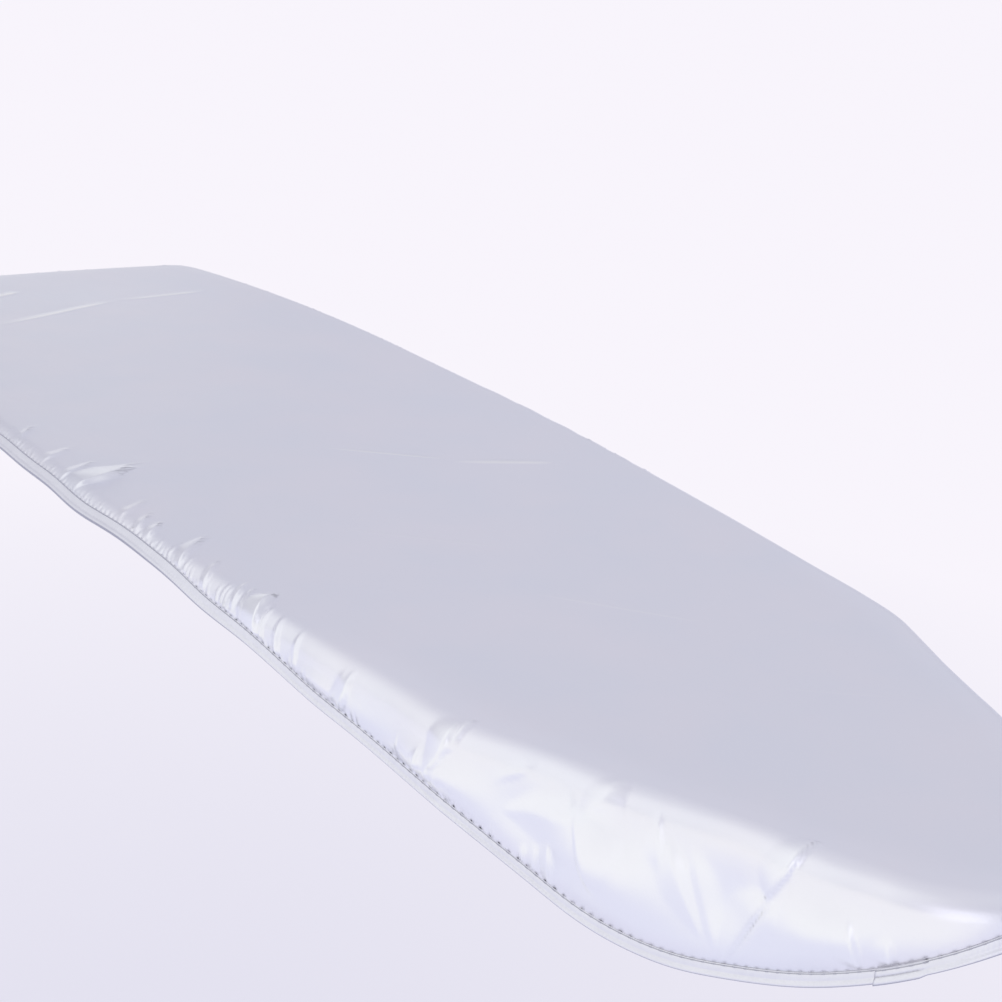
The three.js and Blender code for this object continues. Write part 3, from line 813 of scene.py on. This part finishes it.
def copies(name, shape, faces, centres, along, out):
    """One mesh with a copy of a shape at each centre, its X along and its Z out."""
    along = along / np.linalg.norm(along, axis=1)[:, None]
    out = out - along * np.sum(out * along, axis=1)[:, None]
    out = out / np.linalg.norm(out, axis=1)[:, None]
    across = np.cross(out, along)
    axes = np.stack([along, across, out], axis=1)
    points = centres[:, None] + np.einsum("kj,ijl->ikl", shape, axes)
    numbers = [[i * len(shape) + v for v in f] for i in range(len(centres)) for f in faces]
    return new_piece(name, points.reshape(-1, 3), numbers)


def seam_stitches(stations, lap_start, lap_count):
    """The row of stitches through the tape's legs, on its outer and its inner face."""
    shape, faces = stitch_shape()
    leg = CLOTH_THICKNESS / 2 + LAYER_GAP + TAPE_THICKNESS - SEAM_SINK
    leg += STITCH_RADIUS * STITCH_RISE_SHARE
    at = (np.arange(stations.stitch_count) + 0.5) * stations.stitch_pitch
    whole = 2 * stations.length
    lap = stations.loop_run[[lap_start, lap_start + lap_count]]
    raised = np.where((at > lap[0]) & (at < lap[1]), TAPE_THICKNESS + LAYER_GAP, 0)[:, None]

    def take(rows):
        return np.column_stack([
            np.interp(at, stations.loop_run, rows[:, k], period=whole) for k in range(3)])

    pieces = []
    for name, sign in (("seam_stitches_outer", 1), ("seam_stitches_inner", -1)):
        seam = stations.hem(np.array([SEAM_DOWN]), np.array([leg * sign]))[:, 0]
        core = stations.hem(np.array([SEAM_DOWN]), np.zeros(1))[:, 0]
        normal = take(seam - core)
        normal /= np.linalg.norm(normal, axis=1)[:, None]
        centres = take(seam) + normal * raised
        tangent = take(np.roll(seam, -1, 0) - np.roll(seam, 1, 0))
        pieces.append(copies(name, shape, faces, centres, tangent, normal))
    return pieces


def colour(hex_code):
    """Linear colour of an sRGB hex value."""
    parts = [int(hex_code[i:i + 2], 16) / 255 for i in (1, 3, 5)]
    linear = [c / 12.92 if c <= 0.04045 else ((c + 0.055) / 1.055) ** 2.4 for c in parts]
    return (*linear, 1)


def add(tree, kind, settings=None):
    """Adds a shader node with its settings. Outputs of other nodes among them are linked to it."""
    node = tree.nodes.new("ShaderNode" + kind)
    for name, value in (settings or {}).items():
        if isinstance(value, bpy.types.NodeSocket):
            tree.links.new(value, node.inputs[name])
        elif isinstance(name, int) or name in node.inputs:
            node.inputs[name].default_value = value
        else:
            setattr(node, name, value)
    return node


def new_material(name):
    material = bpy.data.materials.new(name)
    material.use_nodes = True
    material.node_tree.nodes.clear()
    return material, material.node_tree


def finish_material(tree, shader):
    add(tree, "OutputMaterial", {"Surface": shader.outputs["BSDF"]})


def towards(tree, direction, axis, edge):
    """How far a direction points along an axis: 0 up to the edge's first dot product, 1 from its
    second."""
    product = add(tree, "VectorMath", {
        "operation": "DOT_PRODUCT", 1: axis, 0: direction}).outputs["Value"]
    return add(tree, "MapRange", {
        "interpolation_type": "SMOOTHSTEP", "From Min": edge[0], "From Max": edge[1],
        "Value": product}).outputs["Result"]


def faded(tree, amount, value, ends):
    """An amount that grows from nothing at one value to all of it at another."""
    kept = add(tree, "MapRange", {
        "interpolation_type": "SMOOTHSTEP", "From Min": ends[0], "From Max": ends[1],
        "Value": value}).outputs["Result"]
    return add(tree, "Math", {"operation": "MULTIPLY", 0: amount, 1: kept}).outputs[0]


def wrinkle_height(tree, place, start, end, left_width, right_width, rise):
    """Height in metres of one straight wrinkle that fades out at both ends."""
    a, b = Vector((*start, 0)) * MM, Vector((*end, 0)) * MM
    along = b - a
    left = Vector((-along.y, along.x, 0)).normalized()
    from_start = add(tree, "VectorMath", {
        "operation": "SUBTRACT", 1: a, 0: place}).outputs["Vector"]
    axes = (along / along.length_squared, left / (left_width * MM), -left / (right_width * MM))
    t, to_left, to_right = (
        add(tree, "VectorMath", {
            "operation": "DOT_PRODUCT", 0: from_start, 1: axis}).outputs["Value"]
        for axis in axes)
    away = add(tree, "Math", {"operation": "MAXIMUM", 0: to_left, 1: to_right}).outputs[0]
    height = add(tree, "MapRange", {
        "To Min": rise * MM, "To Max": 0, "Value": away}).outputs["Result"]
    for ends in WRINKLE_FADES:
        height = faded(tree, height, t, ends)
    return height


def silver_cotton():
    """Silver-coated cotton: a fine plain weave under a thin metal coating, which gives a soft
    broad sheen with a cloudy tone. Crests are painted paler as a painted highlight, the hollows at
    the stitches are painted dark as painted shade, the wrinkles' crests are painted white as a
    painted highlight, and the sheen is dull where the coating is worn."""
    material, tree = new_material("silver_coated_cotton")
    uv = add(tree, "UVMap", {"uv_map": "cut"}).outputs["UV"]
    place = add(tree, "TexCoord").outputs["Object"]

    # Clouds of about 90 mm
    clouds = add(tree, "TexNoise", {
        "Scale": 11, "Detail": 3, "Roughness": 0.5, "Vector": place}).outputs["Fac"]
    spread = add(tree, "MapRange", {
        "From Min": 0.35, "From Max": 0.65, "Value": clouds}).outputs["Result"]
    tone = add(tree, "Mix", {
        "data_type": "RGBA", 6: colour("#f1f2f9"), 7: colour("#f4f3f9"), 0: spread}).outputs[2]
    crest = add(tree, "Attribute", {"attribute_name": "crest"}).outputs["Fac"]
    # Painted highlight: the cloth is painted paler the higher its crests stand
    painted_crest_highlight = add(tree, "MapRange", {
        "From Min": 0.3, "From Max": 3, "To Max": 0.6, "Value": crest}).outputs["Result"]
    base = add(tree, "Mix", {
        "data_type": "RGBA", 7: colour("#fafbfe"), 0: painted_crest_highlight, 6: tone}).outputs[2]
    # Painted shade: the dips at the stitches are painted dark grey
    painted_dip_shade = add(tree, "MapRange", {
        "From Min": -0.05, "From Max": -0.35, "To Max": 0.9, "Value": crest}).outputs["Result"]
    base = add(tree, "Mix", {
        "data_type": "RGBA", 7: colour("#74747f"), 0: painted_dip_shade, 6: base}).outputs[2]

    # The real threads lie 0.4 mm apart. They are drawn three times as coarse to show at all, and
    # the weave repeats with every second thread
    thread_pitch = 0.0012
    band = {"Scale": BAND_SCALE / (2 * thread_pitch), "Vector": uv}
    warp, weft = (
        add(tree, "TexWave", {"bands_direction": way, **band}).outputs["Fac"] for way in "XY")
    weave = add(tree, "Math", {"operation": "MULTIPLY", 0: warp, 1: weft}).outputs[0]
    weave_bump = add(tree, "Bump", {
        "Strength": 0.12, "Distance": 0.00012, "Height": weave}).outputs["Normal"]

    # Soft dents of about 26 mm, then the wrinkles
    soft = add(tree, "TexNoise", {
        "Scale": 38, "Detail": 4, "Roughness": 0.55, "Distortion": 0.4,
        "Vector": place}).outputs["Fac"]
    soft_bump = add(tree, "Bump", {
        "Strength": 0.35, "Distance": 0.0009, "Height": soft,
        "Normal": weave_bump}).outputs["Normal"]
    wrinkles = [wrinkle_height(tree, place, *wrinkle) for wrinkle in TOP_WRINKLES]
    height = wrinkles[0]
    for wrinkle in wrinkles[1:]:
        height = add(tree, "Math", {"operation": "MAXIMUM", 0: height, 1: wrinkle}).outputs[0]
    # Painted highlight: the wrinkles' crests are painted white
    painted_wrinkle_highlight = add(tree, "MapRange", {
        "From Min": 0.15 * MM, "From Max": 0.5 * MM, "Value": height}).outputs["Result"]
    base = add(tree, "Mix", {
        "data_type": "RGBA", 7: colour("#ffffff"), 0: painted_wrinkle_highlight, 6: base}).outputs[2]
    wrinkle_bump = add(tree, "Bump", {
        "Strength": 1, "Distance": 1, "Height": height, "Normal": soft_bump}).outputs["Normal"]
    dull = add(tree, "MapRange", {"To Min": 0.3, "To Max": 0.35, "Value": clouds}).outputs["Result"]
    worn = add(tree, "Attribute", {"attribute_name": "worn"}).outputs["Fac"]
    dull = add(tree, "Math", {
        "operation": "MULTIPLY_ADD", 1: WORN_DULLNESS, 0: worn, 2: dull}).outputs[0]
    shader = add(tree, "BsdfPrincipled", {
        "Metallic": 0.85, "Base Color": base, "Roughness": dull, "Normal": wrinkle_bump})
    finish_material(tree, shader)
    return material


def needled_felt():
    """Needled polyester felt: off-white, matt, with short fibres lying every way."""
    material, tree = new_material("needled_felt")
    place = add(tree, "TexCoord").outputs["Object"]

    # Tufts of about 1 mm in lumps of about 11 mm
    fibres = add(tree, "TexNoise", {
        "Scale": 900, "Detail": 6, "Roughness": 0.7, "Distortion": 1.6,
        "Vector": place}).outputs["Fac"]
    lumps = add(tree, "TexNoise", {"Scale": 90, "Detail": 3, "Vector": place}).outputs["Fac"]
    base = add(tree, "Mix", {
        "data_type": "RGBA", 6: colour("#d3cfc6"), 7: colour("#e6e3dc"), 0: lumps}).outputs[2]
    fibre_bump = add(tree, "Bump", {
        "Strength": 0.6, "Distance": 0.0006, "Height": fibres}).outputs["Normal"]
    shader = add(tree, "BsdfPrincipled", {
        "Roughness": 0.95, "Sheen Weight": 0.3, "Sheen Roughness": 0.5, "Base Color": base,
        "Normal": fibre_bump})
    finish_material(tree, shader)
    return material


def woven_tape():
    """Narrow silver-coated cotton tape: cross ribs, paler than the cloth that it binds, and painted
    grey as shade along its lower fold and as a shadow line along its seam."""
    material, tree = new_material("woven_cotton_tape")
    uv = add(tree, "UVMap", {"uv_map": "tape"}).outputs["UV"]

    # The real ribs lie 0.6 mm apart. They are drawn four times as coarse to show at all
    rib_pitch = 0.0024
    ribs = add(tree, "TexWave", {
        "bands_direction": "X", "Scale": BAND_SCALE / rib_pitch, "Distortion": 0.4,
        "Vector": uv}).outputs["Fac"]

    # Patches of about 7 mm
    uneven = add(tree, "TexNoise", {"Scale": 140, "Detail": 3, "Vector": uv}).outputs["Fac"]
    base = add(tree, "Mix", {
        "data_type": "RGBA", 6: colour("#e9e9f0"), 7: colour("#f2f2f7"), 0: uneven}).outputs[2]
    # Painted shade: the lower fold, where the tape turns under, is painted grey
    down = add(tree, "SeparateXYZ", {"Vector": uv}).outputs["Y"]
    grey = add(tree, "MapRange", {
        "From Min": PAINTED_FOLD_SHADE[0] * MM, "From Max": PAINTED_FOLD_SHADE[1] * MM,
        "Value": down}).outputs["Result"]
    base = add(tree, "Mix", {
        "data_type": "RGBA", 7: colour("#b2b2c0"), 0: grey, 6: base}).outputs[2]
    # Painted shadow: a darker line along the seam, where the tape's edge meets the cloth
    from_seam = add(tree, "Math", {
        "operation": "COMPARE", 1: SEAM_DOWN * MM, 2: SEAM_LINE / 2 * MM, 0: down}).outputs[0]
    painted_seam_shadow = add(tree, "Math", {"operation": "MULTIPLY", 1: 0.7, 0: from_seam}).outputs[0]
    base = add(tree, "Mix", {
        "data_type": "RGBA", 7: colour("#9c9caa"), 0: painted_seam_shadow, 6: base}).outputs[2]
    rib_bump = add(tree, "Bump", {
        "Strength": 0.25, "Distance": 0.0002, "Height": ribs}).outputs["Normal"]
    shader = add(tree, "BsdfPrincipled", {
        "Roughness": 0.45, "Metallic": 0.8, "Base Color": base, "Normal": rib_bump})
    finish_material(tree, shader)
    return material


def braided_elastic():
    """Braided elastic cord: white polyester yarns crossing round a rubber core."""
    material, tree = new_material("braided_elastic")
    place = add(tree, "TexCoord").outputs["Object"]

    # Bands of yarn about 4 mm apart along the cord
    braid = add(tree, "TexWave", {
        "bands_direction": "DIAGONAL", "Scale": 160, "Distortion": 1,
        "Vector": place}).outputs["Fac"]
    base = add(tree, "Mix", {
        "data_type": "RGBA", 6: colour("#d8d8da"), 7: colour("#f2f2f2"), 0: braid}).outputs[2]
    yarns = add(tree, "Bump", {
        "Strength": 0.5, "Distance": 0.0002, "Height": braid}).outputs["Normal"]
    shader = add(tree, "BsdfPrincipled", {"Roughness": 0.8, "Base Color": base, "Normal": yarns})
    finish_material(tree, shader)
    return material


def sewing_thread():
    """Twisted polyester sewing thread, grey, with a slight gloss along its ply."""
    material, tree = new_material("polyester_thread")
    place = add(tree, "TexCoord").outputs["Object"]

    # Plies 1.3 mm apart, coarser than the real ones
    ply = add(tree, "TexWave", {
        "bands_direction": "DIAGONAL", "Scale": 500, "Vector": place}).outputs["Fac"]
    base = add(tree, "Mix", {
        "data_type": "RGBA", 6: colour("#b0b0bc"), 7: colour("#c0c1cc"), 0: ply}).outputs[2]
    twist = add(tree, "Bump", {
        "Strength": 0.3, "Distance": 0.0001, "Height": ply}).outputs["Normal"]
    shader = add(tree, "BsdfPrincipled", {
        "Roughness": 0.5, "Sheen Weight": 0.2, "Base Color": base, "Normal": twist})
    finish_material(tree, shader)
    return material


def paper_in_sheen(tree, place):
    """Colour that the cloth's sheen sees on the paper, painted light that glows only for it: white
    in the fan and in the backdrop's sweep, and bluish elsewhere."""
    from_start = add(tree, "VectorMath", {
        "operation": "SUBTRACT", 1: FAN_START, 0: place}).outputs["Vector"]
    outward = add(tree, "VectorMath", {"operation": "NORMALIZE", 0: from_start}).outputs["Vector"]
    run = add(tree, "VectorMath", {"operation": "LENGTH", 0: from_start}).outputs["Value"]
    in_fan = faded(tree, towards(tree, outward, FAN_DIRECTION, FAN_EDGE), run, FAN_REACH)
    in_sweep = towards(tree, outward, BACKDROP_DIRECTION, BACKDROP_EDGE)
    unlit = add(tree, "Mix", {
        "data_type": "RGBA", 6: colour("#e8e9fa"), 7: colour("#ffffff"), 0: in_sweep}).outputs[2]
    return add(tree, "Mix", {
        "data_type": "RGBA", 7: colour("#ffffff"), 0: in_fan, 6: unlit}).outputs[2]


def studio_paper():
    """Matt seamless paper of the floor, pale lavender. The camera sees most of it in its plain
    colour, which glows with a painted shadow under the cover, and the rest keeps the shadow. The
    sheen of the cloth sees painted pools of light on the paper instead."""
    material, tree = new_material("seamless_paper")
    place = add(tree, "TexCoord").outputs["Object"]
    uneven = add(tree, "TexNoise", {"Scale": 3, "Vector": place}).outputs["Fac"]
    base = add(tree, "Mix", {
        "data_type": "RGBA", 6: colour("#ededf3"), 7: colour("#f2f2f7"), 0: uneven}).outputs[2]
    paper = add(tree, "BsdfPrincipled", {
        "Roughness": 0.9, "Specular IOR Level": 0.1, "Base Color": base}).outputs["BSDF"]
    path = add(tree, "LightPath").outputs
    seen = add(tree, "Math", {
        "operation": "MULTIPLY", 1: FLOOR_GLOW, 0: path["Is Camera Ray"]}).outputs[0]
    share = add(tree, "Math", {
        "operation": "MAXIMUM", 0: seen, 1: path["Is Glossy Ray"]}).outputs[0]
    # Painted shadow: the paper's glowing colour is darker near the cover and paler outwards
    out = add(tree, "VectorMath", {
        "operation": "DISTANCE", 1: PAPER_SHADE_CENTRE, 0: place}).outputs["Value"]
    far = add(tree, "MapRange", {
        "From Min": PAPER_SHADE_REACH[0], "From Max": PAPER_SHADE_REACH[1],
        "Value": out}).outputs["Result"]
    plain = add(tree, "Mix", {
        "data_type": "RGBA", 6: colour("#e6e4f2"), 7: colour("#fcf8ff"), 0: far}).outputs[2]
    # Painted reflection: the sheen sees painted pools of light on the paper
    lit = paper_in_sheen(tree, place)
    plain = add(tree, "Mix", {
        "data_type": "RGBA", 0: path["Is Glossy Ray"], 6: plain, 7: lit}).outputs[2]
    glow = add(tree, "Emission", {"Color": plain}).outputs["Emission"]
    mixed = add(tree, "MixShader", {0: share, 1: paper, 2: glow})
    add(tree, "OutputMaterial", {"Surface": mixed.outputs["Shader"]})
    return material


def dress(piece, material):
    piece.data.materials.clear()
    piece.data.materials.append(material)


stations = Stations()
cloth, cloth_flat, cloth_area = face_cloth(stations)
felt = felt_underlay(stations)
binding, lap_start, lap_count = hem_binding(stations)
elastic = elastic_cord(stations, lap_start)
outer_stitches, inner_stitches = seam_stitches(stations, lap_start, lap_count)

thread = sewing_thread()
dress(cloth, silver_cotton())
dress(felt, needled_felt())
dress(binding, woven_tape())
dress(elastic, braided_elastic())
dress(outer_stitches, thread)
dress(inner_stitches, thread)

for piece in (cloth, felt, binding, elastic, outer_stitches, inner_stitches):
    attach(piece, "root")
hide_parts("face_cloth")
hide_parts("felt_pad")
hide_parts("hem_binding")
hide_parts("hem_elastic")

# Floor, as far below the cover as in use
bpy.ops.object.select_all(action="DESELECT")
bpy.ops.mesh.primitive_circle_add(vertices=96, radius=FLOOR_RADIUS, fill_type="NGON",
                                  location=(0, 0, -FLOOR_DROP))
floor = bpy.context.active_object
floor.name = "floor"
bpy.ops.object.transform_apply(location=True, rotation=True, scale=True)
dress(floor, studio_paper())

# The room gives most of the light, and this lamp the rest
lamp_data = bpy.data.lights.new("nose", "AREA")
lamp_data.shape = "SQUARE"
lamp_data.size = LAMP_SIZE
lamp_data.energy = LAMP_POWER
lamp_data.color = colour(LAMP_COLOUR)[:3]
lamp = bpy.data.objects.new("nose", lamp_data)
bpy.context.scene.collection.objects.link(lamp)
lamp_turn = (Vector(LAMP_PLACE) - Vector(LAMP_TARGET)).to_track_quat("Z", "Y").to_matrix()
lamp.matrix_world = Matrix.Translation(LAMP_PLACE) @ lamp_turn.to_4x4()

world = bpy.data.worlds.new("soft_room")
bpy.context.scene.world = world
world.use_nodes = True
room = world.node_tree
direction = add(room, "TexCoord").outputs["Generated"]
parts = add(room, "SeparateXYZ", {"Vector": direction}).outputs
panel = towards(room, direction, PANEL_DIRECTION, PANEL_EDGE)
panel = faded(room, panel, parts["Z"], PANEL_TOP)
panel = faded(room, panel, parts["X"], PANEL_END)
backdrop = towards(room, direction, BACKDROP_DIRECTION, BACKDROP_EDGE)
backdrop = faded(room, backdrop, parts["Z"], BACKDROP_TOP)
bright = add(room, "Math", {"operation": "MAXIMUM", 0: panel, 1: backdrop}).outputs[0]
shade = towards(room, direction, TAIL_DIRECTION, TAIL_SHADE)
dim = add(room, "Mix", {
    "data_type": "RGBA", 6: colour("#d2d2dd"), 7: colour("#b6b5c1"), 0: shade}).outputs[2]
walls = add(room, "Mix", {"data_type": "RGBA", 7: colour("#fcfdff"), 0: bright, 6: dim}).outputs[2]

# The camera sees the room about as pale as the far paper
camera_ray = add(room, "LightPath").outputs["Is Camera Ray"]
shown = add(room, "Mix", {
    "data_type": "RGBA", 7: colour("#f9f6fe"), 0: camera_ray, 6: walls}).outputs[2]
room.links.new(shown, room.nodes["Background"].inputs["Color"])

flat_look = Vector((math.cos(CAMERA_YAW), math.sin(CAMERA_YAW), 0))
look = flat_look * math.cos(CAMERA_PITCH) - Vector((0, 0, math.sin(CAMERA_PITCH)))
level = look.cross(Vector((0, 0, 1))).normalized()
upright = level.cross(look)
right = level * math.cos(CAMERA_ROLL) + upright * math.sin(CAMERA_ROLL)
up = upright * math.cos(CAMERA_ROLL) - level * math.sin(CAMERA_ROLL)
camera_data = bpy.data.cameras.new("camera")
camera_data.sensor_width = SENSOR
camera_data.lens = FOCAL_PIXELS / FRAME_PIXELS * SENSOR
camera_data.clip_end = 2 * FLOOR_RADIUS
camera = bpy.data.objects.new("camera", camera_data)
bpy.context.scene.collection.objects.link(camera)
camera_turn = Matrix((right, up, -look)).transposed().to_4x4()
camera.matrix_world = Matrix.Translation(CAMERA_PLACE) @ camera_turn
bpy.context.scene.camera = camera
bpy.context.scene.view_settings.view_transform = "Standard"
